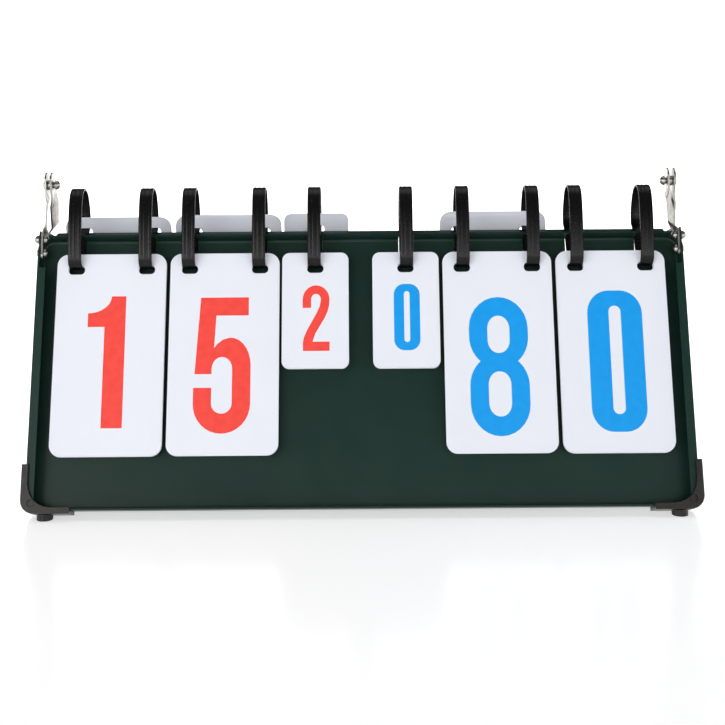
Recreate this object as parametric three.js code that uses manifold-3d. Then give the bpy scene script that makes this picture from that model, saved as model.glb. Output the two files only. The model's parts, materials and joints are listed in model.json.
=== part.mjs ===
// Tabletop flip scoreboard: two shallow steel trays hinged above their top edges, so that the
// case stands as an A-frame, with six stacks of number cards hung on ten strap rings.
// Millimetres, +Z up, X across the board, the front tray faces -Y. The origin is on the table,
// under the middle of the board.
//
// Each half of the case is modelled in a tray frame whose origin is the hinge axis:
//   x across, y inwards from the rim plane towards the tray's back, z up along the tray.
// The front half leans back by LEAN, and the rear half is the same half turned by half a turn.

import * as THREE from 'three';
import { mergeVertices } from 'three/addons/utils/BufferGeometryUtils.js';
import Module from 'manifold-3d';

const wasm = await Module();
wasm.setup();

// ---- driving dimensions (mm, degrees) ----
const LEAN = THREE.MathUtils.degToRad(20);
const GAP = 0.3;                       // clearance between pieces that touch

const TRAY_WIDTH = 390;
const TRAY_HEIGHT = 165;
const TRAY_DEPTH = 11.5;
const TRAY_TOP = 32;                   // hinge axis down to the tray's top edge
const TRAY_BOTTOM = TRAY_TOP + TRAY_HEIGHT;
const SHEET = 1;                       // sheet steel
const TRAY_CORNER = 8;                 // corner radius of the rim
const TRAY_FILLET = 2.5;                // outer radius between the walls and the back
const SIDE_LIP = 5;                    // width of the turned-in lip along each side wall
const LIP_TOP = 52;                    // hinge axis down to where the lips begin
const SLOT_WIDTH = 8.8;                // ring slots, round the top edge and down the back
const SLOT_RIM = 2;                    // rim left in front of a slot
const SLOT_BOTTOM = 50;                // hinge axis down to a slot's lower end
const NOTCH = { width: 5.4, depth: 9.2, bottom: 39 }; // in the top corners, for the hinge arms
const EAR = { top: 28.8, from: 1.5, to: 7.5 };      // side walls' ears, beside the arms

const ARM_THICK = 1.2;
const ARM_HEAD_RADIUS = 6;
const ARM_FOOT_RADIUS = 3;
const ARM_TIP = 2;                     // head circle centre above the hinge axis
const ARM_FOOT = { up: -43.3, in: 4.7 }; // foot circle centre
const ARM_TOE = THREE.MathUtils.degToRad(14); // twist of an arm's middle part
const ARM_WALL_LAYER = TRAY_WIDTH / 2 - SHEET - GAP - ARM_THICK / 2;
const ARM_OUTER_LAYER = 191.4;
const ARM_INNER_LAYER = 187.8;
const ARM_FLAT_END = -6;               // an arm is flat and untwisted from its head to here
const ARM_TWIST_END = -12;             // and twisted by its toe from here
const ARM_BEND = -25;                  // to here, where it starts to move out
const ARM_KNEE = -27;
const ARM_KNEE_SHARE = 0.36;           // how much of its move to the wall it has made at the knee
const ARM_WALL_FROM = -30.5;           // below this an arm runs straight down its wall
const ARM_DRIFT = 0.6;                 // how far an arm has moved out at its lower bend
const ARM_RIVETS = [                   // two rivets fasten each arm to its side wall
  { place: 'upper', up: -33.3, outerRise: 3.2 },
  { place: 'lower', up: -41.9, outerRise: 1.4 },
];
const RIVET_IN = 4.7;
const RIVET_SHANK = 1.5;
const RIVET_HEAD = 2.8;
const RIVET_INNER_RISE = 2.6;
const PIVOT_SHANK = 1.7;
const PIVOT_COLLAR = 3;
const PIVOT_HEAD_RISE = 1.6;
const PIVOT_BARREL = { radius: 2, length: 0.8 };
const PIVOT_BALL = { radius: 2.6, rise: 2.8 };

const GUARD_WIDTH = 28.5;              // corner guard, along the bottom edge
const GUARD_RISE = 28.6;               // corner guard, up the side
const GUARD_SIDE = 2.2;                // how far it stands off the side wall
const GUARD_UNDER = 1.9;               // how far it stands below the bottom wall
const GUARD_LIP = 3.6;                 // width of the lips over the rim and the back
const GUARD_SKIN = 1.6;                // thickness of those lips
const GUARD_WEB = 14;                  // radius of the web in the corner
const GUARD_CORNER = 8;
const STUD = { in: 4, up: 4.2 };       // guard rivet, from the tray's bottom corner
const STUD_HEAD = 2;
const STUD_SHANK = 1.1;
const STUD_SUNK = 0.5;                 // the head's depth below the guard's face
const STUD_TAIL = { radius: 1.4, rise: 0.8 }; // its formed end, behind the tray's sheet

const FOOT_X = 184;
const FOOT_IN = 5.5;
const FOOT_RADIUS = 4.7;
const FOOT_DROP = 2.6;                 // guard down to the sole, along the foot's middle
const PEG_RADIUS = 2;
const PEG_TOP = 3;                     // the peg's end, above the tray's bottom wall

const STRAP_WIDTH = 8;
const STRAP_THICK = 1.3;
const RING_SPREAD = 21.2;              // a large card's holes, either side of its middle
const RING_OFF_HOLE = 0.6;             // a ring sits this far from its holes' middle, outwards

const CARD_THICK = 0.3;
const CARD_TOP = 43.3;                 // hinge axis down to the top edge of the front cards
const CARD_IN = 3;                     // rim plane to the face of the front card
const HOLE = { width: 10, height: 5.6, radius: 1.5, down: 7 };
const LARGE_CARD = { width: 65.8, height: 122.4, radius: 6.8, holes: [-RING_SPREAD, RING_SPREAD] };
const SMALL_CARD = { width: 40, height: 71, radius: 4.5, holes: [0] };
const CARDS_PER_STACK = 10;
// As many cards as the number a stack shows have been flipped to the back. Their top edge lies
// flippedTop below the hinge axis, along the rear tray.
const STACKS = [
  { name: 'home_tens', x: -150.4, card: LARGE_CARD, shown: 1, flippedTop: 22.2 },
  { name: 'home_ones', x: -82, card: LARGE_CARD, shown: 5, flippedTop: 21.5 },
  { name: 'home_sets', x: -27.4, card: SMALL_CARD, shown: 2, flippedTop: 21.2 },
  { name: 'guest_sets', x: 27.1, card: SMALL_CARD, shown: 0 },
  { name: 'guest_tens', x: 82.4, card: LARGE_CARD, shown: 8, flippedTop: 21 },
  { name: 'guest_ones', x: 151, card: LARGE_CARD, shown: 0 },
];

// A ring's middle line seen from the side, [y, z] from the hinge axis: over the top, down behind
// the flipped cards, in through their holes, down between the trays, forward through the holes
// of the front cards and up their front.
const RING_PATH = [
  [-0.5, -2.8], [7.2, -5.2], [11.7, -11.5], [13.9, -19.5], [13.2, -26], [10.4, -28.5],
  [7, -31.3], [2, -38], [-3.8, -46], [-8.2, -50.2], [-11.4, -50.7], [-14.6, -49.6],
  [-17.2, -46.8], [-17.8, -42], [-14, -22], [-8.2, -7.2],
];
const RING_STEPS = 40;
const ROUND_STEPS = 14;

// The guard and the sole below the tray's bottom corner set the height of the hinge axis.
const SOLE_ALONG = TRAY_BOTTOM + GUARD_UNDER + FOOT_DROP;
const AXIS_HEIGHT = SOLE_ALONG * Math.cos(LEAN) + FOOT_IN * Math.sin(LEAN);

// ---- materials ----
const finish = (color, roughness, metalness) =>
  new THREE.MeshStandardMaterial({ color, roughness, metalness });
const GREEN_PAINT = finish(0x20322d, 0.35, 0.2);
const NICKEL = finish(0xc9c7c0, 0.25, 1);
const BLACK_PLASTIC = finish(0x23211f, 0.5, 0);
const FOOT_RUBBER = finish(0x141414, 0.75, 0);
const STRAP_PLASTIC = finish(0x1c1a1c, 0.6, 0);
const CARD_PLASTIC = finish(0xeceff4, 0.4, 0);

// ---- solids and booleans ----
function toSolid(geometry) {
  geometry.deleteAttribute('normal');
  geometry.deleteAttribute('uv');
  const merged = mergeVertices(geometry, 1e-4);
  return new wasm.Manifold(new wasm.Mesh({
    numProp: 3,
    vertProperties: Float32Array.from(merged.attributes.position.array),
    triVerts: Uint32Array.from(merged.index.array),
  }));
}

function toGeometry(solid) {
  const mesh = solid.getMesh();
  const geometry = new THREE.BufferGeometry();
  geometry.setAttribute('position', new THREE.BufferAttribute(mesh.vertProperties, mesh.numProp));
  geometry.setIndex(new THREE.BufferAttribute(mesh.triVerts, 1));
  const faceted = geometry.toNonIndexed();
  faceted.computeVertexNormals();
  return faceted;
}

const cutAll = (solid, tools) => tools.reduce((left, tool) => left.subtract(tool), solid);

function addMesh(parent, name, solid, material) {
  const mesh = new THREE.Mesh(toGeometry(solid), material);
  mesh.name = name;
  parent.add(mesh);
  return mesh;
}

// A block given by its lowest and highest corners.
function block(low, high) {
  const size = high.map((value, axis) => value - low[axis]);
  const geometry = new THREE.BoxGeometry(...size);
  geometry.translate(...high.map((value, axis) => (value + low[axis]) / 2));
  return toSolid(geometry);
}

// An outline in the x-z plane pushed inwards, from one depth to another.
function pushIn(outline, from, to, curveSegments = 3) {
  const geometry = new THREE.ExtrudeGeometry(outline, {
    depth: to - from, bevelEnabled: false, curveSegments,
  });
  geometry.rotateX(Math.PI / 2);
  geometry.translate(0, to, 0);
  return toSolid(geometry);
}

// An outline in the y-z plane pushed across, from one x to another.
function pushAcross(outline, from, to, curveSegments = 8) {
  const geometry = new THREE.ExtrudeGeometry(outline, {
    depth: to - from, bevelEnabled: false, curveSegments,
  });
  geometry.applyMatrix4(new THREE.Matrix4().set(
    0, 0, 1, from,
    1, 0, 0, 0,
    0, 1, 0, 0,
    0, 0, 0, 1,
  ));
  return toSolid(geometry);
}

// A turned piece: [radius, along] points turned about an axis through a point.
function turned(profile, axis, point) {
  const geometry = new THREE.LatheGeometry(
    profile.map(([radius, along]) => new THREE.Vector2(radius, along)), ROUND_STEPS);
  geometry.applyQuaternion(new THREE.Quaternion().setFromUnitVectors(
    new THREE.Vector3(0, 1, 0), new THREE.Vector3(...axis)));
  geometry.translate(...point);
  return toSolid(geometry);
}

const pin = (radius, from, to, axis, point) =>
  turned([[0, from], [radius, from], [radius, to], [0, to]], axis, point);

// Points of a domed head on a turned profile, from its rim to its crown.
function dome(radius, base, rise, steps = 3) {
  const points = [];
  for (let step = 0; step <= steps; step += 1) {
    const angle = (step / steps) * (Math.PI / 2);
    points.push([radius * Math.cos(angle), base + rise * Math.sin(angle)]);
  }
  return points;
}

function roundedRectangle(left, bottom, width, height, radius, holes = []) {
  const right = left + width;
  const top = bottom + height;
  const shape = new THREE.Shape();
  shape.absarc(right - radius, bottom + radius, radius, -Math.PI / 2, 0);
  shape.absarc(right - radius, top - radius, radius, 0, Math.PI / 2);
  shape.absarc(left + radius, top - radius, radius, Math.PI / 2, Math.PI);
  shape.absarc(left + radius, bottom + radius, radius, Math.PI, 1.5 * Math.PI);
  shape.closePath();
  shape.holes.push(...holes);
  return shape;
}

// ---- the trays ----

// A block with its rounded outline in front and a fillet round its back, cut at the rim plane.
function panBlank(inset) {
  const half = TRAY_WIDTH / 2 - inset;
  const fillet = TRAY_FILLET - inset;
  const outline = roundedRectangle(-half, -TRAY_BOTTOM + inset, 2 * half,
    TRAY_HEIGHT - 2 * inset, TRAY_CORNER - inset);
  const straight = TRAY_DEPTH - inset - fillet;
  const geometry = new THREE.ExtrudeGeometry(outline, {
    depth: 2 * straight, curveSegments: 3, bevelEnabled: true, bevelSegments: 4,
    bevelThickness: fillet, bevelSize: fillet, bevelOffset: -fillet,
  });
  geometry.rotateX(Math.PI / 2);
  geometry.translate(0, straight, 0);
  return toSolid(geometry);
}

// The side walls carry on up past the tray's rounded top corners.
const ear = (side) => {
  const inner = side * (TRAY_WIDTH / 2 - SHEET);
  const outer = side * TRAY_WIDTH / 2;
  return block(
    [Math.min(inner, outer), EAR.from, -TRAY_TOP - TRAY_CORNER - SHEET],
    [Math.max(inner, outer), EAR.to, -EAR.top]);
};

const sideLip = (side) => {
  const inner = side * (TRAY_WIDTH / 2 - SIDE_LIP);
  const outer = side * TRAY_WIDTH / 2;
  return block(
    [Math.min(inner, outer), 0, -TRAY_BOTTOM],
    [Math.max(inner, outer), SHEET, -LIP_TOP]);
};

function traySolid() {
  const inFront = block([-TRAY_WIDTH, -3 * TRAY_DEPTH, -2 * TRAY_BOTTOM], [TRAY_WIDTH, 0, 0]);
  const blank = panBlank(0).subtract(inFront);
  const lips = [-1, 1].map((side) => sideLip(side).intersect(blank));
  const opened = cutAll(blank.subtract(panBlank(SHEET)), armOpenings());
  const whole = [...lips, ...[-1, 1].map(ear)].reduce((left, piece) => left.add(piece), opened);
  return cutAll(whole, [...ringSlots(), ...rivetHoles(), ...studHoles(), ...pegHoles()]);
}

const ringPlaces = () => STACKS.flatMap((stack) =>
  stack.card.holes.map((offset) => stack.x + offset + Math.sign(stack.x) * RING_OFF_HOLE));

// A slot is cut at each ring's place and at its mirror place, because the trays are alike and
// the rear one is turned round.
const ringSlots = () => ringPlaces().flatMap((x) => [x, -x]).map((x) => block(
  [x - SLOT_WIDTH / 2, SLOT_RIM, -SLOT_BOTTOM],
  [x + SLOT_WIDTH / 2, TRAY_DEPTH + 1, -TRAY_TOP + 1]));

const armOpenings = () => [-1, 1].map((side) => {
  const outer = side * (TRAY_WIDTH / 2 + 1);
  const inner = side * (TRAY_WIDTH / 2 - SHEET - NOTCH.width);
  return block(
    [Math.min(inner, outer), -1, -NOTCH.bottom],
    [Math.max(inner, outer), NOTCH.depth, -TRAY_TOP + 1]);
});

const rivetHoles = () => [-1, 1].flatMap((side) => ARM_RIVETS.map(({ up }) => pin(
  RIVET_SHANK + GAP, -2 * SHEET, 2 * SHEET, [1, 0, 0], [side * TRAY_WIDTH / 2, RIVET_IN, up])));

const studPoint = (side) => [side * (TRAY_WIDTH / 2 - STUD.in), 0, -TRAY_BOTTOM + STUD.up];
const studHoles = () => [-1, 1].map((side) =>
  pin(STUD_SHANK + GAP, -1, 2 * SHEET, [0, 1, 0], studPoint(side)));

const pegHoles = () => [-1, 1].map((side) =>
  pin(PEG_RADIUS + GAP, -2, 3, [0, 0, 1], [side * FOOT_X, FOOT_IN, -TRAY_BOTTOM]));

// ---- hinge arms and their rivets ----

// Where an arm runs: stations from the crown of its head down to the end of its foot. x is the
// layer, y the middle of the bar, half its half width and toe its twist at that height.
function armStations(layer) {
  const roundSteps = [80, 60, 40, 20].map(THREE.MathUtils.degToRad);
  const along = (z, x, toe) => {
    const share = (ARM_TIP - z) / (ARM_TIP - ARM_FOOT.up);
    const half = THREE.MathUtils.lerp(ARM_HEAD_RADIUS, ARM_FOOT_RADIUS, share);
    const inwards = Math.min(1, (ARM_TIP - z) / (ARM_TIP - ARM_KNEE));
    return { x, y: inwards * ARM_FOOT.in, z, half, toe };
  };
  const bendLayer = layer + ARM_DRIFT;
  const kneeLayer = THREE.MathUtils.lerp(bendLayer, ARM_WALL_LAYER, ARM_KNEE_SHARE);
  return [
    ...roundSteps.map((angle) => ({
      x: layer, y: 0, z: ARM_TIP + ARM_HEAD_RADIUS * Math.sin(angle),
      half: ARM_HEAD_RADIUS * Math.cos(angle), toe: 0,
    })),
    along(ARM_TIP, layer, 0),
    along(ARM_FLAT_END, layer, 0),
    along(ARM_TWIST_END, layer, ARM_TOE),
    along(ARM_BEND, bendLayer, ARM_TOE),
    along(ARM_KNEE, kneeLayer, ARM_TOE / 2),
    along(ARM_WALL_FROM, ARM_WALL_LAYER, 0),
    along(ARM_FOOT.up, ARM_WALL_LAYER, 0),
    ...roundSteps.map((angle) => ({
      x: ARM_WALL_LAYER, y: ARM_FOOT.in, z: ARM_FOOT.up - ARM_FOOT_RADIUS * Math.sin(angle),
      half: ARM_FOOT_RADIUS * Math.cos(angle), toe: 0,
    })).reverse(),
  ];
}

// A flat bar through the stations, four corners at each one.
function flatBar(stations) {
  const vertices = stations.flatMap(({ x, y, z, half, toe }) => {
    const across = new THREE.Vector2(Math.sin(toe), Math.cos(toe)).multiplyScalar(half);
    const out = new THREE.Vector2(Math.cos(toe), -Math.sin(toe)).multiplyScalar(ARM_THICK / 2);
    return [[-1, -1], [1, -1], [1, 1], [-1, 1]].flatMap(([a, o]) =>
      [x + a * across.x + o * out.x, y + a * across.y + o * out.y, z]);
  });
  const last = 4 * (stations.length - 1);
  const faces = [0, 3, 2, 0, 2, 1, last, last + 1, last + 2, last, last + 2, last + 3];
  for (let row = 0; row < last; row += 4) {
    for (let corner = 0; corner < 4; corner += 1) {
      const next = (corner + 1) % 4;
      faces.push(row + corner, row + next, row + 4 + next);
      faces.push(row + corner, row + 4 + next, row + 4 + corner);
    }
  }
  return new wasm.Manifold(new wasm.Mesh({
    numProp: 3,
    vertProperties: Float32Array.from(vertices),
    triVerts: Uint32Array.from(faces),
  }));
}

function armSolid(side, layer) {
  const holes = ARM_RIVETS.map(({ up }) => pin(
    RIVET_SHANK + GAP, -10, 10, [1, 0, 0], [ARM_WALL_LAYER, RIVET_IN, up]));
  holes.push(pin(PIVOT_SHANK + GAP, -15, 15, [1, 0, 0], [ARM_OUTER_LAYER, 0, 0]));
  const arm = cutAll(flatBar(armStations(layer)), holes);
  return side < 0 ? arm.mirror([1, 0, 0]) : arm;
}

// An arm rivet: a domed head outside the side wall and another inside the arm.
function armRivet(side, up, outerRise) {
  const outer = GAP;
  const inner = SHEET + ARM_THICK + 2 * GAP;
  const profile = [
    ...dome(RIVET_HEAD, outer, outerRise).map(([radius, along]) => [radius, -along]).reverse(),
    [RIVET_SHANK, -outer],
    [RIVET_SHANK, inner],
    ...dome(RIVET_HEAD, inner, RIVET_INNER_RISE),
  ];
  return turned(profile, [-side, 0, 0], [side * TRAY_WIDTH / 2, RIVET_IN, up]);
}

// The hinge pin of one end: a domed head outside, a collar between the arms and a barrel with a
// domed head inside.
function hingePin(side) {
  const outside = TRAY_WIDTH / 2 - ARM_OUTER_LAYER - ARM_THICK / 2 - GAP;
  const collarStart = TRAY_WIDTH / 2 - ARM_OUTER_LAYER + ARM_THICK / 2 + GAP;
  const collarEnd = TRAY_WIDTH / 2 - ARM_INNER_LAYER - ARM_THICK / 2 - GAP;
  const barrelStart = TRAY_WIDTH / 2 - ARM_INNER_LAYER + ARM_THICK / 2 + GAP;
  const barrelEnd = barrelStart + PIVOT_BARREL.length;
  const profile = [
    ...dome(PIVOT_COLLAR, -outside, PIVOT_HEAD_RISE).map(([radius, along]) => [radius, -along]).reverse(),
    [PIVOT_SHANK, outside],
    [PIVOT_SHANK, collarStart],
    [PIVOT_COLLAR, collarStart],
    [PIVOT_COLLAR, collarEnd],
    [PIVOT_SHANK, collarEnd],
    [PIVOT_SHANK, barrelStart],
    [PIVOT_BARREL.radius, barrelStart],
    [PIVOT_BARREL.radius, barrelEnd],
    ...dome(PIVOT_BALL.radius, barrelEnd, PIVOT_BALL.rise),
  ];
  return turned(profile, [-side, 0, 0], [side * TRAY_WIDTH / 2, 0, 0]);
}

// ---- corner guards, their rivets and the feet ----

// The guard's outline seen along y: two arms and a web that is hollowed by a quarter circle.
function guardOutline(side) {
  const edge = TRAY_WIDTH / 2 + GUARD_SIDE;
  const bottom = -TRAY_BOTTOM - GUARD_UNDER;
  const armInner = edge - GUARD_LIP;
  const armTop = bottom + GUARD_LIP;
  const place = (x, z) => new THREE.Vector2(side * x, z);
  const arc = (x, z, radius, start, end, steps = 6) => {
    const points = [];
    for (let step = 0; step <= steps; step += 1) {
      const angle = start + (end - start) * (step / steps);
      points.push(place(x + radius * Math.cos(angle), z + radius * Math.sin(angle)));
    }
    return points;
  };
  return new THREE.Shape([
    place(edge - GUARD_WIDTH, bottom),
    ...arc(edge - GUARD_CORNER, bottom + GUARD_CORNER, GUARD_CORNER, -Math.PI / 2, 0),
    place(edge, bottom + GUARD_RISE),
    place(armInner, bottom + GUARD_RISE),
    ...arc(armInner - GUARD_WEB, armTop + GUARD_WEB, GUARD_WEB, 0, -Math.PI / 2),
    place(edge - GUARD_WIDTH, armTop),
  ]);
}

function guardSolid(side) {
  const front = -GAP - GUARD_SKIN;
  const back = TRAY_DEPTH + GAP + GUARD_SKIN;
  const wall = side * (TRAY_WIDTH / 2 + GAP);
  const trayRoom = block(
    [Math.min(0, wall), -GAP, -TRAY_BOTTOM - GAP],
    [Math.max(0, wall), TRAY_DEPTH + GAP, 0]);
  const [studX, , studUp] = studPoint(side);
  const recess = pin(STUD_HEAD + GAP, front - 1, front + STUD_SUNK + 0.8, [0, 1, 0],
    [studX, 0, studUp]);
  const studHole = pin(STUD_SHANK + GAP, front - 1, 0, [0, 1, 0], [studX, 0, studUp]);
  const pegHole = pin(PEG_RADIUS + GAP, -4, 4, [0, 0, 1],
    [side * FOOT_X, FOOT_IN, -TRAY_BOTTOM - GUARD_UNDER]);
  return cutAll(pushIn(guardOutline(side), front, back), [trayRoom, recess, studHole, pegHole]);
}

// The guard's rivet: a flat head sunk in the guard and a tail behind the side lip.
function guardRivet(side) {
  const face = -GAP - GUARD_SKIN + STUD_SUNK;
  const headEnd = face + STUD_SUNK;
  const tail = SHEET + GAP;
  const tailEnd = tail + STUD_TAIL.rise;
  const profile = [
    [0, face], [STUD_HEAD, face], [STUD_HEAD, headEnd], [STUD_SHANK, headEnd],
    [STUD_SHANK, tail], [STUD_TAIL.radius, tail], [STUD_TAIL.radius, tailEnd], [0, tailEnd],
  ];
  return turned(profile, [0, 1, 0], studPoint(side));
}

// A push-in foot. Its sole is cut level with the table.
function footSolid(side) {
  const top = -GUARD_UNDER - GAP;
  const sole = -GUARD_UNDER - FOOT_DROP - FOOT_RADIUS;
  const profile = [
    [0, sole], [FOOT_RADIUS, sole], [FOOT_RADIUS, top],
    [PEG_RADIUS, top], [PEG_RADIUS, PEG_TOP], [0, PEG_TOP],
  ];
  const blank = turned(profile, [0, 0, 1], [side * FOOT_X, FOOT_IN, -TRAY_BOTTOM]);
  const depth = 2 * FOOT_RADIUS;
  const table = new THREE.BoxGeometry(3 * depth, 3 * depth, 2 * depth);
  table.rotateX(LEAN);
  table.translate(side * FOOT_X, FOOT_IN + depth * Math.sin(LEAN),
    -SOLE_ALONG - depth * Math.cos(LEAN));
  return blank.subtract(toSolid(table));
}

// ---- one half of the case ----
function addHalf(parent, prefix) {
  addMesh(parent, `${prefix}_tray`, traySolid(), GREEN_PAINT);
  for (const [end, side] of [['left', -1], ['right', 1]]) {
    const layer = side < 0 ? ARM_OUTER_LAYER : ARM_INNER_LAYER;
    addMesh(parent, `${prefix}_${end}_arm`, armSolid(side, layer), NICKEL);
    ARM_RIVETS.forEach(({ place, up, outerRise }) => addMesh(
      parent, `${prefix}_${end}_${place}_rivet`, armRivet(side, up, outerRise), NICKEL));
    addMesh(parent, `${prefix}_${end}_corner_guard`, guardSolid(side), BLACK_PLASTIC);
    addMesh(parent, `${prefix}_${end}_guard_rivet`, guardRivet(side), BLACK_PLASTIC);
    addMesh(parent, `${prefix}_${end}_foot`, footSolid(side), FOOT_RUBBER);
  }
}

function leaningFrame(turn) {
  const leaning = new THREE.Group();
  leaning.rotation.x = -LEAN;
  const turnedRound = new THREE.Group();
  turnedRound.rotation.z = turn;
  turnedRound.position.z = AXIS_HEIGHT;
  turnedRound.add(leaning);
  return { turnedRound, leaning };
}

// ---- cards ----
function cardOutline(card, top) {
  const holes = card.holes.map((x) => roundedRectangle(
    x - HOLE.width / 2, top - HOLE.down - HOLE.height, HOLE.width, HOLE.height, HOLE.radius));
  return roundedRectangle(
    -card.width / 2, top - card.height, card.width, card.height, card.radius, holes);
}

function addCards(parent, name, x, card, thickness, face, top, rotation = 0) {
  const geometry = pushIn(cardOutline(card, 0), 0, thickness, 2);
  const mesh = addMesh(parent, name, geometry, CARD_PLASTIC);
  mesh.position.set(x, face, top);
  mesh.rotation.x = rotation;
}

// The shown card hangs in front of the cards that are still to come.
function addFrontStack(parent, stack) {
  addCards(parent, `${stack.name}_shown_card`, stack.x, stack.card, CARD_THICK, CARD_IN,
    -CARD_TOP);
  const waiting = CARDS_PER_STACK - 1 - stack.shown;
  addCards(parent, `${stack.name}_waiting_cards`, stack.x, stack.card, waiting * CARD_THICK,
    CARD_IN + CARD_THICK + GAP, -CARD_TOP);
}

// Flipped cards lean over the rear rim, with their lower ends inside the rear tray.
function addFlippedStack(parent, stack) {
  const thickness = stack.shown * CARD_THICK;
  const reach = stack.flippedTop + stack.card.height - TRAY_TOP;
  const drop = TRAY_DEPTH - SHEET - GAP;
  const tilt = Math.atan2(drop + GAP, reach);
  const rimToTop = TRAY_TOP - stack.flippedTop;
  const face = -GAP - thickness / Math.cos(tilt) - rimToTop * Math.tan(tilt);
  addCards(parent, `${stack.name}_flipped_cards`, -stack.x, stack.card, thickness, face,
    -stack.flippedTop, tilt);
}

// ---- strap rings ----
function ringOutline(offset) {
  const curve = new THREE.CatmullRomCurve3(
    RING_PATH.map(([y, z]) => new THREE.Vector3(y, z, 0)), true, 'centripetal');
  const points = [];
  for (let step = 0; step < RING_STEPS; step += 1) {
    const at = curve.getPointAt(step / RING_STEPS);
    const along = curve.getTangentAt(step / RING_STEPS);
    points.push(new THREE.Vector2(at.x - along.y * offset, at.y + along.x * offset));
  }
  return points;
}

function ringSolid(x) {
  const outline = new THREE.Shape(ringOutline(STRAP_THICK / 2));
  outline.holes.push(new THREE.Path(ringOutline(-STRAP_THICK / 2).reverse()));
  return pushAcross(outline, x - STRAP_WIDTH / 2, x + STRAP_WIDTH / 2);
}

// ---- the whole board ----
const scoreboard = new THREE.Group();

const front = leaningFrame(0);
addHalf(front.leaning, 'front');
STACKS.forEach((stack) => addFrontStack(front.leaning, stack));

const rear = leaningFrame(Math.PI);
addHalf(rear.leaning, 'rear');
STACKS.filter((stack) => stack.shown > 0)
  .forEach((stack) => addFlippedStack(rear.leaning, stack));

const axisFrame = new THREE.Group();
axisFrame.position.z = AXIS_HEIGHT;
addMesh(axisFrame, 'left_hinge_pin', hingePin(-1), NICKEL);
addMesh(axisFrame, 'right_hinge_pin', hingePin(1), NICKEL);
ringPlaces().forEach((x, index) =>
  addMesh(axisFrame, `ring_${index + 1}`, ringSolid(x), STRAP_PLASTIC));

scoreboard.add(front.turnedRound, rear.turnedRound, axisFrame);

export default scoreboard;
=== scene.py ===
# A tabletop flip scoreboard: two shallow green steel trays on nickel hinge arms, black corner
# guards, and six stacks of white number cards on dark strap rings. Metres, +Z up, the front
# tray faces -Y. The CAD nodes give every place and size; this file gives the looks.

import json
import math
import random

import bmesh
import bpy
from mathutils import Matrix, Vector

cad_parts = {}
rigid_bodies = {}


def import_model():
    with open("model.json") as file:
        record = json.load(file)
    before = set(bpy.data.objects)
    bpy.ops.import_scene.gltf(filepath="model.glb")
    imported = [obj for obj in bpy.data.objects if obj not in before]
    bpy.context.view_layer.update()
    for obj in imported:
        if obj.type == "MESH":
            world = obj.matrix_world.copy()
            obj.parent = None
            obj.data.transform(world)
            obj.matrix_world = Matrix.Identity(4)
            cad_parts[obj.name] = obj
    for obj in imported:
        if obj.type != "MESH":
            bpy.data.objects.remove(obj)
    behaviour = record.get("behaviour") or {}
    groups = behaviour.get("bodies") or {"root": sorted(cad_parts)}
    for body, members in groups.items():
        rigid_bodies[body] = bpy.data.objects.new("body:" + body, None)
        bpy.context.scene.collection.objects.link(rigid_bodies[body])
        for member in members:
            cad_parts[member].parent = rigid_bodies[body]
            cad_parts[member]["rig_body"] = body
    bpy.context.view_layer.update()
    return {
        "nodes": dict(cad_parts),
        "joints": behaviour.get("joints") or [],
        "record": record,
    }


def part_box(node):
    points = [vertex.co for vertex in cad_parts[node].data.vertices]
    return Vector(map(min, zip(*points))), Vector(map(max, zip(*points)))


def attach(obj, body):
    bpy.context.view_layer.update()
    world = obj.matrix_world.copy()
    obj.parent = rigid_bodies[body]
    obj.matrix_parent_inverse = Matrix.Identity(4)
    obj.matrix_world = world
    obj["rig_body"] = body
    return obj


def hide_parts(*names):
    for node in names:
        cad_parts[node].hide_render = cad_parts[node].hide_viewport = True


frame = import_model()

MM = 0.001
HINGE = Vector(next(j for j in frame["joints"] if j["name"] == "fold")["pos_m"])

# ---- driving sizes, millimetres unless a name says otherwise ----
CAMERA_FROM_HINGE = (0.2, -800, 21.5)
CAMERA_YAW_DEG = 0.06
CAMERA_PITCH_DEG = 6.24
CAMERA_ROLL_DEG = -0.43
CAMERA_LENS = 64.7
CAMERA_SHIFT_Y = -0.1

FLOOR_RADIUS = 2.2                    # the stage and the lights are in metres
STAGE_CURVE = 0.6
STAGE_HEIGHT = 0.85
FLOOR_GLOW = 0.54
BACKDROP_GLOW = 1.5
WORLD_GLOW = 0.14
# Each area light: place and target in metres, its two sides, and its power in watts.
LIGHTS = {
    "key": ((-1.1, -1.5, 0.55), (-0.05, 0, 0.1), (1.0, 0.8), 6.3),
    "fill": ((1.3, -1.6, 0.5), (0, 0, 0.1), (0.9, 0.7), 0.3),
    "top": ((0, 0.2, 2.2), (0, 0, 0), (1.6, 1.6), 8),
}

CARD_THICK = 0.3
CARD_BEVEL = 0.05
CARD_LOOSE = 0.12                     # how far a card in a pack may hang out of line
CARD_SAG = (-0.2, 0.05)               # lowest and highest that it may hang
CARD_SHARE = 0.86                     # a card's share of its pitch in a pack, the rest is air
FLIPPED_STEP = -0.35                  # step up from a flipped card to the next one in
HOLE_WIDTH = 10
HOLE_HEIGHT = 5.6
HOLE_RADIUS = 2.6
HOLE_DOWN = 7
RING_SPREAD = 21.2
LARGE_CARD_RADIUS = 6.8
SMALL_CARD_RADIUS = 4.5
SMALL_CARD_BELOW = 50                 # a card narrower than this is a small one
SMALL_SCALE = 0.477                   # a small card's digits, next to a large card's
SMALL_DIGIT_TOP = 20.4
LARGE_DIGIT_TOP = 26
INK_LIFT = 0.02

STRAP_WIDTH = 8
STRAP_THICK = 1.3
RING_STEPS = 110
RIDGE_PLACES = (-2.6, -0.4, 2.6)
RIDGE_HEIGHT = 0.14
RIDGE_HALF_WIDTH = 0.5
STRAP_EDGE = 0.25                     # rounding of the strap's edges
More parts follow.
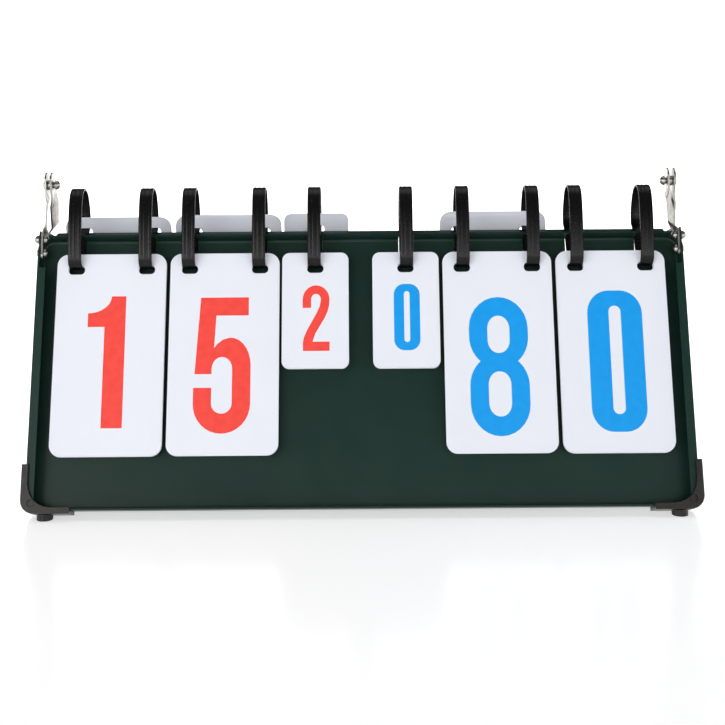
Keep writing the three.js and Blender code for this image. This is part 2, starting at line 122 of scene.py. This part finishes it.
# The middle line of a ring seen from the side, [y, z] from the hinge axis.
RING_PATH = [
    (-0.5, -2.8), (7.2, -5.2), (11.7, -11.5), (13.9, -19.5), (13.2, -26), (10.4, -28.5),
    (7, -31.3), (2, -38), (-3.8, -46), (-8.2, -50.2), (-11.4, -50.7), (-14.6, -49.6),
    (-17.2, -46.8), (-17.8, -42), (-14, -22), (-8.2, -7.2),
]

RIVET_SHANK = 1.5
RIVET_INNER_RISE = 2.6
RIVET_OUTER_RISE = {"upper": 3.2, "lower": 1.4}
PIN_SHANK = 1.7
PIN_COLLAR = 3
PIN_BARREL = 2
PIN_OUTER_RISE = 1.6
PIN_BALL_RISE = 2.8
# Along a hinge pin, inwards from its outer head: the collar between the arms, then the barrel.
PIN_COLLAR_FROM, PIN_COLLAR_TO, PIN_BARREL_FROM = 1.8, 3.6, 5.4

# The rounding of the CAD nodes' edges, by material slot.
EDGE_ROUNDING = {"green_paint": 0.35, "nickel": 0.3, "black_plastic": 0.5, "foot_rubber": 0.5}

STACKS = {
    "home_tens": ("home", 1),
    "home_ones": ("home", 5),
    "home_sets": ("home", 2),
    "guest_sets": ("guest", 0),
    "guest_tens": ("guest", 8),
    "guest_ones": ("guest", 0),
}


# ---- materials ----
class Surface:
    """A principled material with short helpers for its procedural nodes."""

    def __init__(self, name, colour, roughness, metallic=0.0):
        self.material = bpy.data.materials.new(name)
        self.material.use_nodes = True
        self.nodes = self.material.node_tree.nodes
        self.links = self.material.node_tree.links
        self.shader = self.nodes["Principled BSDF"]
        self.shader.inputs["Base Color"].default_value = (*colour, 1)
        self.shader.inputs["Roughness"].default_value = roughness
        self.shader.inputs["Metallic"].default_value = metallic
        self.place = self.nodes.new("ShaderNodeTexCoord").outputs["Object"]

    def stretched(self, scale):
        mapping = self.nodes.new("ShaderNodeMapping")
        mapping.inputs["Scale"].default_value = scale
        self.links.new(self.place, mapping.inputs["Vector"])
        return mapping.outputs["Vector"]

    def noise(self, scale, detail=4.0, stretch=None):
        node = self.nodes.new("ShaderNodeTexNoise")
        node.inputs["Scale"].default_value = scale
        node.inputs["Detail"].default_value = detail
        source = self.stretched(stretch) if stretch else self.place
        self.links.new(source, node.inputs["Vector"])
        return node.outputs["Fac"]

    def spread(self, value, low, high, start=0.3, end=0.7):
        node = self.nodes.new("ShaderNodeMapRange")
        node.inputs["From Min"].default_value = start
        node.inputs["From Max"].default_value = end
        node.inputs["To Min"].default_value = low
        node.inputs["To Max"].default_value = high
        self.links.new(value, node.inputs["Value"])
        return node.outputs["Result"]

    def vary_colour(self, value, first, second, start=0.3, end=0.7):
        ramp = self.nodes.new("ShaderNodeValToRGB")
        ramp.color_ramp.elements[0].position = start
        ramp.color_ramp.elements[0].color = (*first, 1)
        ramp.color_ramp.elements[1].position = end
        ramp.color_ramp.elements[1].color = (*second, 1)
        self.links.new(value, ramp.inputs["Fac"])
        self.links.new(ramp.outputs["Color"], self.shader.inputs["Base Color"])

    def vary_roughness(self, value, low, high):
        self.links.new(self.spread(value, low, high), self.shader.inputs["Roughness"])

    def bump(self, value, strength, depth_mm):
        node = self.nodes.new("ShaderNodeBump")
        node.inputs["Strength"].default_value = strength
        node.inputs["Distance"].default_value = depth_mm * MM
        self.links.new(value, node.inputs["Height"])
        self.links.new(node.outputs["Normal"], self.shader.inputs["Normal"])


def green_paint():
    surface = Surface("green_paint", (0.006, 0.027, 0.02), 0.33)
    surface.vary_colour(surface.noise(9, 3), (0.0052, 0.0245, 0.018), (0.007, 0.0295, 0.022))
    surface.vary_roughness(surface.noise(60, 6), 0.3, 0.38)
    surface.bump(surface.noise(900, 2), 0.2, 0.04)
    surface.shader.inputs["Specular IOR Level"].default_value = 0.3
    return surface.material


def nickel():
    surface = Surface("nickel", (0.36, 0.35, 0.325), 0.28, 1.0)
    surface.vary_colour(surface.noise(250, 5), (0.3, 0.29, 0.27), (0.42, 0.41, 0.385))
    surface.vary_roughness(surface.noise(400, 6, (1, 1, 0.08)), 0.22, 0.36)
    surface.bump(surface.noise(1500, 3, (1, 1, 0.1)), 0.08, 0.02)
    return surface.material


def black_plastic():
    surface = Surface("black_plastic", (0.013, 0.0115, 0.0098), 0.33)
    surface.vary_colour(surface.noise(120, 4), (0.01, 0.0087, 0.0075), (0.016, 0.0143, 0.0122))
    surface.vary_roughness(surface.noise(300, 5), 0.28, 0.38)
    surface.bump(surface.noise(2600, 2), 0.1, 0.03)
    return surface.material


def foot_rubber():
    surface = Surface("foot_rubber", (0.008, 0.008, 0.008), 0.6)
    surface.vary_roughness(surface.noise(400, 5), 0.5, 0.72)
    surface.bump(surface.noise(2200, 3), 0.3, 0.05)
    return surface.material


def strap_plastic():
    surface = Surface("strap_plastic", (0.0035, 0.003, 0.0034), 0.27)
    surface.vary_colour(surface.noise(160, 4), (0.0028, 0.0024, 0.0027), (0.0055, 0.0046, 0.0052))
    surface.vary_roughness(surface.noise(500, 5), 0.22, 0.28)
    surface.bump(surface.noise(1800, 3), 0.02, 0.01)
    surface.shader.inputs["Specular IOR Level"].default_value = 0.25
    return surface.material


def card_plastic():
    surface = Surface("card_plastic", (0.84, 0.865, 0.94), 0.4)
    surface.vary_colour(surface.noise(14, 3), (0.83, 0.857, 0.935), (0.85, 0.873, 0.945))
    surface.vary_roughness(surface.noise(120, 5), 0.36, 0.46)
    surface.bump(surface.noise(1300, 2), 0.12, 0.02)
    return surface.material


def ink(name, colour, deeper):
    surface = Surface(name, colour, 0.38)
    surface.shader.inputs["Specular IOR Level"].default_value = 0.25
    surface.vary_colour(surface.noise(200, 4), deeper, colour, 0.25, 0.6)
    surface.vary_roughness(surface.noise(500, 4), 0.33, 0.45)
    surface.bump(surface.noise(1500, 2), 0.1, 0.01)
    return surface.material


def floor_surface():
    surface = Surface("pale_floor", (0.93, 0.93, 0.935), 0.2)
    surface.vary_colour(surface.noise(1.5, 2), (0.935, 0.935, 0.94), (0.955, 0.955, 0.96))
    surface.vary_roughness(surface.noise(20, 3), 0.18, 0.22)
    surface.shader.inputs["Emission Color"].default_value = (1, 1, 1, 1)
    surface.shader.inputs["Emission Strength"].default_value = FLOOR_GLOW
    return surface.material


def backdrop_surface():
    surface = Surface("backdrop", (0.88, 0.88, 0.88), 0.8)
    surface.vary_roughness(surface.noise(5, 3), 0.75, 0.85)
    surface.shader.inputs["Emission Color"].default_value = (1, 1, 1, 1)
    surface.shader.inputs["Emission Strength"].default_value = BACKDROP_GLOW
    return surface.material


MATERIALS = {
    "green_paint": green_paint(),
    "nickel": nickel(),
    "black_plastic": black_plastic(),
    "foot_rubber": foot_rubber(),
    "strap_plastic": strap_plastic(),
    "card_plastic": card_plastic(),
    "home_ink": ink("home_ink", (0.965, 0.08, 0.062), (0.9, 0.064, 0.048)),
    "guest_ink": ink("guest_ink", (0.008, 0.35, 0.88), (0.006, 0.325, 0.84)),
}


# ---- pieces ----
def add_piece(name, mesh, body, material, matrix=None):
    piece = bpy.data.objects.new(name, mesh)
    bpy.context.scene.collection.objects.link(piece)
    piece.matrix_world = matrix or Matrix.Identity(4)
    mesh.materials.clear()
    mesh.materials.append(MATERIALS[material])
    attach(piece, body)
    return piece


def node_body(node):
    return frame["nodes"][node]["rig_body"]


def mesh_from(name, build):
    mesh = bpy.data.meshes.new(name)
    shell = bmesh.new()
    build(shell)
    bmesh.ops.recalc_face_normals(shell, faces=shell.faces)
    shell.to_mesh(mesh)
    shell.free()
    return mesh


def smooth_by_angle(mesh, degrees=35):
    mesh.polygons.foreach_set("use_smooth", [True] * len(mesh.polygons))
    mesh.set_sharp_from_angle(angle=math.radians(degrees))


def filled_mesh(name, outlines, thickness, bevel=0.0):
    """A flat plate from closed outlines in millimetres, holes included, centred on z = 0."""
    curve = bpy.data.curves.new(name, "CURVE")
    curve.dimensions = "2D"
    curve.fill_mode = "BOTH"
    curve.extrude = (thickness / 2 - bevel) * MM
    curve.bevel_depth = bevel * MM
    curve.bevel_resolution = 1
    curve.offset = -bevel * MM
    for outline in outlines:
        spline = curve.splines.new("POLY")
        spline.points.add(len(outline) - 1)
        for point, (x, y) in zip(spline.points, outline):
            point.co = (x * MM, y * MM, 0, 1)
        spline.use_cyclic_u = True
    holder = bpy.data.objects.new(name, curve)
    mesh = bpy.data.meshes.new_from_object(holder)
    bpy.data.objects.remove(holder)
    bpy.data.curves.remove(curve)
    mesh.name = name
    return mesh


def arc(x, y, radius_x, radius_y, start, end, steps=9):
    """Points of an elliptical arc; angles in degrees, 0 to the right and 90 upwards."""
    angles = [math.radians(start + (end - start) * i / steps) for i in range(steps + 1)]
    return [(x + radius_x * math.cos(a), y + radius_y * math.sin(a)) for a in angles]


def rounded_box(left, right, bottom, top, radius_x, radius_y=None):
    radius_y = radius_y or radius_x
    return (
        arc(right - radius_x, bottom + radius_y, radius_x, radius_y, -90, 0)
        + arc(right - radius_x, top - radius_y, radius_x, radius_y, 0, 90)
        + arc(left + radius_x, top - radius_y, radius_x, radius_y, 90, 180)
        + arc(left + radius_x, bottom + radius_y, radius_x, radius_y, 180, 270)
    )


# ---- digits: outlines in millimetres, x from the card's middle, y from its top edge ----
LOBE = 17.6                           # half width of a round digit
COUNTER = 6.6                         # half width of its counter


def digit_zero():
    return [
        rounded_box(-15.4, 17.4, -110.3, -25, 13, 14),
        rounded_box(-2.6, 4.6, -99.8, -34.4, 3.5),
    ]


def digit_one():
    flag = arc(-13.2, -26.3, 13.9, 10.3, 0, -90)
    return [flag + [(-13.2, -45), (-3.1, -45), (-3.1, -105.9), (9.4, -105.9), (9.4, -26.3)]]


def digit_two():
    over = arc(1, -44.5, 16.9, 18.5, 180, 0, 14)
    down = [(17.4, -52), (15.4, -60), (11.8, -68), (6, -78), (0.2, -88), (-3.4, -98.5)]
    bar = [(17.9, -98.5), (17.9, -110.3), (-15.4, -110.3), (-15.4, -99)]
    back = [(-14, -92.5), (-10.4, -84), (-4.4, -73), (1.6, -62), (5.6, -53)]
    under = arc(0.9, -44.5, 6.2, 7.5, 0, 180, 10)
    return [[(-15.9, -55.1)] + over + down + bar + back + under + [(-5.3, -55.1)]]


def digit_three():
    outside = (
        [(-LOBE, -55)]
        + arc(0, -47.5, LOBE, 19, 180, 0, 14)
        + arc(0, -52.9, LOBE, 19, 0, -50.9, 6)
        + arc(0, -82.3, LOBE, 19, 50.9, 0, 6)
        + arc(0, -93.4, LOBE, 19, 0, -180, 14)
        + [(-LOBE, -85)]
    )
    inside = (
        [(-COUNTER, -85)]
        + arc(0, -94, COUNTER, 6.7, 180, 360, 10)
        + arc(0, -80.2, COUNTER, 6.7, 0, 90, 5)
        + [(-4.5, -73.5), (-4.5, -62.7)]
        + arc(0, -56, COUNTER, 6.7, -90, 0, 5)
        + arc(0, -46.7, COUNTER, 6.7, 0, 180, 10)
        + [(-COUNTER, -55)]
    )
    return [outside + inside]


def digit_five():
    stem = [(-17, -74.1), (-14, -27.5), (14.7, -27.5), (14.7, -38.6), (-4.6, -38.6)]
    shoulder = [(-5.7, -58.4), (-3.6, -55.8), (-0.4, -53.3)]
    bowl = arc(4, -69, 12.2, 16.9, 90, 0, 7)
    base = arc(-0.7, -92, 16.9, 17.6, 0, -180, 16)
    hook = [(-17.6, -82.3), (-6.9, -82.3)]
    under = arc(-0.8, -91.8, 6.1, 6, 180, 360, 10)
    over = arc(-0.8, -71, 6.1, 7.2, 0, 180, 10)
    return [stem + shoulder + bowl + base + hook + under + over + [(-6.9, -74.1)]]


def digit_six():
    outside = (
        [(LOBE, -52), (COUNTER, -52)]
        + arc(0, -46.7, COUNTER, 7.5, 0, 180, 10)
        + [(-COUNTER, -64)]
        + arc(4.5, -64, 11.1, 5.5, 180, 90, 5)
        + arc(4.5, -75, 13.1, 16.5, 90, 0, 7)
        + arc(0, -93, LOBE, 18.5, 0, -180, 14)
        + arc(0, -45.5, LOBE, 18.5, 180, 0, 14)
    )
    return [outside, rounded_box(-COUNTER, COUNTER, -100.7, -69.5, 6.5)]


def digit_eight():
    outside = (
        arc(-0.4, -47.5, LOBE, 19, 180, 0, 14)
        + arc(-0.4, -52.9, LOBE, 19, 0, -50.9, 6)
        + arc(-0.4, -82.3, LOBE, 19, 50.9, 0, 6)
        + arc(-0.4, -93.4, LOBE, 19, 0, -180, 14)
        + arc(-0.4, -82.3, LOBE, 19, 180, 129.1, 6)
        + arc(-0.4, -52.9, LOBE, 19, 230.9, 180, 6)
    )
    upper = rounded_box(-7, 6.2, -62.7, -40, 6.4, 8)
    lower = rounded_box(-7.1, 6.3, -100.7, -73.8, 6.4, 8)
    return [outside, upper, lower]


def digit_nine():
    turned_round = -138.6
    return [[(-x, turned_round - y) for x, y in outline] for outline in digit_six()]


DIGITS = {
    0: digit_zero, 1: digit_one, 2: digit_two, 3: digit_three,
    5: digit_five, 6: digit_six, 8: digit_eight, 9: digit_nine,
}


def digit_outlines(number, small):
    outlines = DIGITS[number]()
    if not small:
        return outlines
    return [
        [(x * SMALL_SCALE, -SMALL_DIGIT_TOP + (y + LARGE_DIGIT_TOP) * SMALL_SCALE) for x, y in one]
        for one in outlines
    ]


# ---- cards ----
def slab(node, facing):
    """A card node's place: a matrix with x across, y up from the top edge and z out of its
    outer face, and its width, height and thickness in millimetres."""
    mesh = frame["nodes"][node].data
    broad = max(mesh.polygons, key=lambda face: face.area)
    normal = broad.normal.copy()
    if normal.dot(facing) < 0:
        normal.negate()
    across = Vector((-normal.y, normal.x, 0)).normalized()
    up = normal.cross(across)
    turn = Matrix((across, up, normal)).transposed()
    points = [turn.transposed() @ vertex.co for vertex in mesh.vertices]
    low = [min(point[axis] for point in points) for axis in range(3)]
    high = [max(point[axis] for point in points) for axis in range(3)]
    origin = turn @ Vector(((low[0] + high[0]) / 2, high[1], high[2]))
    matrix = Matrix.Translation(origin) @ turn.to_4x4()
    return matrix, [(high[axis] - low[axis]) / MM for axis in range(3)]


def card_template(width, height, thickness, name):
    small = width < SMALL_CARD_BELOW
    radius = SMALL_CARD_RADIUS if small else LARGE_CARD_RADIUS
    outline = rounded_box(-width / 2, width / 2, -height, 0, radius)
    spread = (0,) if small else (-RING_SPREAD, RING_SPREAD)
    holes = [
        rounded_box(
            x - HOLE_WIDTH / 2, x + HOLE_WIDTH / 2, -HOLE_DOWN - HOLE_HEIGHT, -HOLE_DOWN,
            HOLE_RADIUS)
        for x in spread
    ]
    return filled_mesh(name, [outline] + holes, thickness, CARD_BEVEL)


def card_stack_mesh(name, width, height, count, pitch, step_up, seed):
    """Cards one behind the other, each a little out of line with the last."""
    loose = random.Random(seed)
    one = card_template(width, height, pitch * CARD_SHARE, name + "_one")
    whole = bmesh.new()
    for index in range(count):
        before = len(whole.verts)
        whole.from_mesh(one)
        whole.verts.ensure_lookup_table()
        offset = Vector((
            loose.uniform(-CARD_LOOSE, CARD_LOOSE) * MM,
            (step_up * index + loose.uniform(*CARD_SAG)) * MM,
            -(index + 0.5) * pitch * MM,
        ))
        bmesh.ops.translate(whole, vec=offset, verts=whole.verts[before:])
    mesh = bpy.data.meshes.new(name)
    whole.to_mesh(mesh)
    whole.free()
    bpy.data.meshes.remove(one)
    smooth_by_angle(mesh)
    return mesh


def add_digit(name, number, small, team, body, matrix, lift):
    mesh = filled_mesh(name, digit_outlines(number, small), INK_LIFT * 2)
    place = matrix @ Matrix.Translation((0, 0, lift * MM))
    add_piece(name, mesh, body, team + "_ink", place)


def add_front_cards(stack, team, shown):
    node = stack + "_shown_card"
    matrix, (width, height, thickness) = slab(node, Vector((0, -1, 0)))
    small = width < SMALL_CARD_BELOW
    mesh = card_template(width, height, thickness, stack + "_card_face")
    smooth_by_angle(mesh)
    centre = matrix @ Matrix.Translation((0, 0, -thickness / 2 * MM))
    card = add_piece(stack + "_card_front", mesh, node_body(node), "card_plastic", centre)
    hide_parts(node)
    add_digit(stack + "_digit", shown, small, team, node_body(node), matrix, 0)

    node = stack + "_waiting_cards"
    matrix, (width, height, thickness) = slab(node, Vector((0, -1, 0)))
    count = round(thickness / CARD_THICK)
    mesh = card_stack_mesh(
        stack + "_waiting_mesh", width, height, count, thickness / count, 0, stack)
    pack = add_piece(stack + "_waiting_pack", mesh, node_body(node), "card_plastic", matrix)
    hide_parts(node)
    add_digit(stack + "_next_digit", shown + 1, small, team, node_body(node), matrix, 0)


def add_flipped_cards(stack):
    node = stack + "_flipped_cards"
    matrix, (width, height, thickness) = slab(node, Vector((0, 1, 0)))
    count = round(thickness / CARD_THICK)
    mesh = card_stack_mesh(
        stack + "_flipped_mesh", width, height, count, thickness / count, FLIPPED_STEP, stack)
    pack = add_piece(stack + "_flipped_pack", mesh, node_body(node), "card_plastic", matrix)
    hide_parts(node)


# ---- rings ----
def smooth_loop(points, steps):
    """Evenly spaced points and directions on a closed Catmull-Rom curve through the points."""
    count = len(points)
    fine = []
    for index in range(count):
        a, b, c, d = (Vector(points[(index + k - 1) % count]) for k in range(4))
        for step in range(24):
            t = step / 24
            fine.append(0.5 * (2 * b + (c - a) * t + (2 * a - 5 * b + 4 * c - d) * t * t
                               + (3 * b - a - 3 * c + d) * t ** 3))
    lengths = [0.0]
    for here, there in zip(fine, fine[1:] + fine[:1]):
        lengths.append(lengths[-1] + (there - here).length)
    places = []
    cursor = 0
    for step in range(steps):
        target = lengths[-1] * step / steps
        while lengths[cursor + 1] < target:
            cursor += 1
        share = (target - lengths[cursor]) / (lengths[cursor + 1] - lengths[cursor])
        places.append(fine[cursor].lerp(fine[(cursor + 1) % len(fine)], share))
    return [
        (place, (places[(i + 1) % steps] - places[i - 1]).normalized())
        for i, place in enumerate(places)
    ]


def strap_section():
    """Across and outward offsets of the strap's section: a ribbed face and a plain back."""
    half = STRAP_WIDTH / 2
    base = STRAP_THICK / 2 - RIDGE_HEIGHT
    steps = 40
    face = []
    for step in range(steps + 1):
        across = -half + STRAP_EDGE + (STRAP_WIDTH - 2 * STRAP_EDGE) * step / steps
        nearest = min(abs(across - ridge) for ridge in RIDGE_PLACES)
        rise = RIDGE_HEIGHT * max(0.0, 1 - (nearest / RIDGE_HALF_WIDTH) ** 2)
        face.append((across, base + rise))
    back = -STRAP_THICK / 2
    return [(-half, base - 0.3)] + face + [
        (half, base - 0.3), (half, back + STRAP_EDGE), (half - STRAP_EDGE, back),
        (-half + STRAP_EDGE, back), (-half, back + STRAP_EDGE)]


def ring_mesh(name):
    loop = smooth_loop(RING_PATH, RING_STEPS)
    section = strap_section()

    def build(shell):
        rows = []
        for place, along in loop:
            outward = Vector((-along.y, along.x))
            row = []
            for across, out in section:
                spot = place + outward * out
                row.append(shell.verts.new((across * MM, spot.x * MM, spot.y * MM)))
            rows.append(row)
        for row, following in zip(rows, rows[1:] + rows[:1]):
            for k in range(len(section)):
                n = (k + 1) % len(section)
                shell.faces.new((row[k], row[n], following[n], following[k]))

    mesh = mesh_from(name, build)
    smooth_by_angle(mesh, 40)
    return mesh


def add_rings():
    names = sorted(n for n in frame["nodes"] if n.startswith("ring_"))
    shared = ring_mesh("ring_strap")
    for name in names:
        low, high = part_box(name)
        place = Matrix.Translation(((low.x + high.x) / 2, HINGE.y, HINGE.z))
        ring = add_piece(name + "_strap", shared.copy(), node_body(name), "strap_plastic", place)
        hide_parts(name)


# ---- rivets and hinge pins ----
def turned_mesh(name, profile, segments=40):
    """A closed piece turned about x, from [radius, x] points in metres."""
    def build(shell):
        rows = []
        for radius, x in profile:
            if radius < 1e-7:
                rows.append([shell.verts.new((x, 0, 0))])
                continue
            angles = [2 * math.pi * k / segments for k in range(segments)]
            rows.append([
                shell.verts.new((x, radius * math.cos(a), radius * math.sin(a))) for a in angles])
        for row, following in zip(rows, rows[1:]):
            for k in range(segments):
                n = (k + 1) % segments
                corners = [row[k % len(row)], row[n % len(row)],
                           following[n % len(following)], following[k % len(following)]]
                shell.faces.new(list(dict.fromkeys(corners)))

    mesh = mesh_from(name, build)
    smooth_by_angle(mesh, 30)
    return mesh


def dome_profile(radius, base, rise, steps=8):
    """A domed head with a thin round rim, from its rim to its crown."""
    rim = abs(rise) * 0.16 * (1 if rise > 0 else -1)
    points = [(radius * 0.97, base), (radius, base + rim * 0.5), (radius * 0.97, base + rim)]
    for step in range(1, steps + 1):
        angle = math.pi / 2 * step / steps
        points.append((
            radius * 0.94 * math.cos(angle), base + rim + (rise - rim) * math.sin(angle)))
    return points[:-1] + [(0.0, base + rise)]


def replace_turned(node, profile, material):
    low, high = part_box(node)
    centre = Matrix.Translation((0, (low.y + high.y) / 2, (low.z + high.z) / 2))
    mesh = turned_mesh(node + "_mesh", profile)
    piece = add_piece(node + "_turned", mesh, node_body(node), material, centre)
    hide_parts(node)


def add_arm_rivets():
    """Each rivet has a head outside the tray's side wall and another inside the arm."""
    shank, inner_rise = RIVET_SHANK * MM, RIVET_INNER_RISE * MM
    for node in [n for n in frame["nodes"] if n.endswith(("upper_rivet", "lower_rivet"))]:
        low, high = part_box(node)
        side = -1 if high.x < 0 else 1
        radius = (high.z - low.z) / 2
        outer, inner = max(abs(low.x), abs(high.x)), min(abs(low.x), abs(high.x))
        outer_rise = RIVET_OUTER_RISE["upper" if "upper" in node else "lower"] * MM
        profile = (
            dome_profile(radius, outer - outer_rise, outer_rise)[::-1]
            + [(shank, outer - outer_rise), (shank, inner + inner_rise)]
            + dome_profile(radius, inner + inner_rise, -inner_rise)
        )
        replace_turned(node, [(r, side * x) for r, x in profile], "nickel")


def add_hinge_pins():
    """A low head outside the arms, a collar between them, then a barrel with a ball end."""
    shank, collar, barrel = PIN_SHANK * MM, PIN_COLLAR * MM, PIN_BARREL * MM
    for node in ("left_hinge_pin", "right_hinge_pin"):
        low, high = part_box(node)
        side = -1 if high.x < 0 else 1
        ball = (high.z - low.z) / 2
        arms = max(abs(low.x), abs(high.x)) - PIN_OUTER_RISE * MM
        ball_base = min(abs(low.x), abs(high.x)) + PIN_BALL_RISE * MM
        collar_from, collar_to = arms - PIN_COLLAR_FROM * MM, arms - PIN_COLLAR_TO * MM
        barrel_from = arms - PIN_BARREL_FROM * MM
        profile = (
            dome_profile(collar, arms, PIN_OUTER_RISE * MM)[::-1]
            + [(shank, arms), (shank, collar_from), (collar, collar_from)]
            + [(collar, collar_to), (shank, collar_to), (shank, barrel_from)]
            + [(barrel, barrel_from), (barrel, ball_base)]
            + dome_profile(ball, ball_base, -PIN_BALL_RISE * MM)
        )
        replace_turned(node, [(r, side * x) for r, x in profile], "nickel")


# ---- the CAD nodes that stay ----
def dress_nodes():
    slots = {row["node"]: row["material_slot"] for row in frame["record"]["subparts"]}
    for name, node in frame["nodes"].items():
        if node.hide_render:
            continue
        slot = slots[name]
        node.data.materials.clear()
        node.data.materials.append(MATERIALS[slot])
        rounding = node.modifiers.new("round_edges", "BEVEL")
        rounding.width = EDGE_ROUNDING[slot] * MM
        rounding.segments = 3
        rounding.limit_method = "ANGLE"
        rounding.angle_limit = math.radians(40)
        rounding.harden_normals = True


# ---- the stage ----
def add_stage_piece(name, profile, surface):
    """A round sweep about the vertical axis, from [radius, height] points in metres."""
    segments = 96

    def build(shell):
        rows = []
        for radius, height in profile:
            if radius == 0:
                rows.append([shell.verts.new((0, 0, height))])
                continue
            angles = [2 * math.pi * k / segments for k in range(segments)]
            rows.append([
                shell.verts.new((radius * math.cos(a), radius * math.sin(a), height))
                for a in angles])
        for row, following in zip(rows, rows[1:]):
            for k in range(segments):
                n = (k + 1) % segments
                corners = [row[k % len(row)], following[k], following[n], row[n % len(row)]]
                shell.faces.new(list(dict.fromkeys(corners)))

    piece = bpy.data.objects.new(name, mesh_from(name, build))
    smooth_by_angle(piece.data)
    piece.data.materials.append(surface)
    bpy.context.scene.collection.objects.link(piece)


def add_stage():
    """A flat floor, and a white wall round it that curves up out of the floor."""
    curve = [
        (FLOOR_RADIUS + x, STAGE_CURVE + z)
        for x, z in arc(0, 0, STAGE_CURVE, STAGE_CURVE, -90, 0, 12)]
    add_stage_piece("floor", [(0, 0), (FLOOR_RADIUS, 0)], floor_surface())
    wall = curve + [(FLOOR_RADIUS + STAGE_CURVE, STAGE_HEIGHT)]
    add_stage_piece("backdrop", wall, backdrop_surface())


def add_light(name, place, target, size, power):
    data = bpy.data.lights.new(name, "AREA")
    data.shape = "RECTANGLE"
    data.size, data.size_y = size
    data.energy = power
    light = bpy.data.objects.new(name, data)
    light.location = place
    light.rotation_euler = (Vector(target) - Vector(place)).to_track_quat("-Z", "Y").to_euler()
    bpy.context.scene.collection.objects.link(light)


def add_lights():
    world = bpy.data.worlds.new("studio")
    world.use_nodes = True
    world.node_tree.nodes["Background"].inputs["Color"].default_value = (1, 1, 1, 1)
    world.node_tree.nodes["Background"].inputs["Strength"].default_value = WORLD_GLOW
    bpy.context.scene.world = world
    bpy.context.scene.view_settings.view_transform = "Standard"
    for name, (place, target, size, power) in LIGHTS.items():
        add_light(name, place, target, size, power)


def add_camera():
    data = bpy.data.cameras.new("camera")
    data.sensor_width = 36
    data.lens = CAMERA_LENS
    data.shift_y = CAMERA_SHIFT_Y
    data.clip_start, data.clip_end = 0.01, 20
    camera = bpy.data.objects.new("camera", data)
    camera.matrix_world = (
        Matrix.Translation(HINGE + Vector(CAMERA_FROM_HINGE) * MM)
        @ Matrix.Rotation(-math.radians(CAMERA_YAW_DEG), 4, "Z")
        @ Matrix.Rotation(math.radians(90 - CAMERA_PITCH_DEG), 4, "X")
        @ Matrix.Rotation(math.radians(CAMERA_ROLL_DEG), 4, "Z")
    )
    bpy.context.scene.collection.objects.link(camera)
    bpy.context.scene.camera = camera


add_camera()
add_stage()
add_lights()
for stack, (team, shown) in STACKS.items():
    add_front_cards(stack, team, shown)
    if shown:
        add_flipped_cards(stack)
add_rings()
add_arm_rivets()
add_hinge_pins()
dress_nodes()
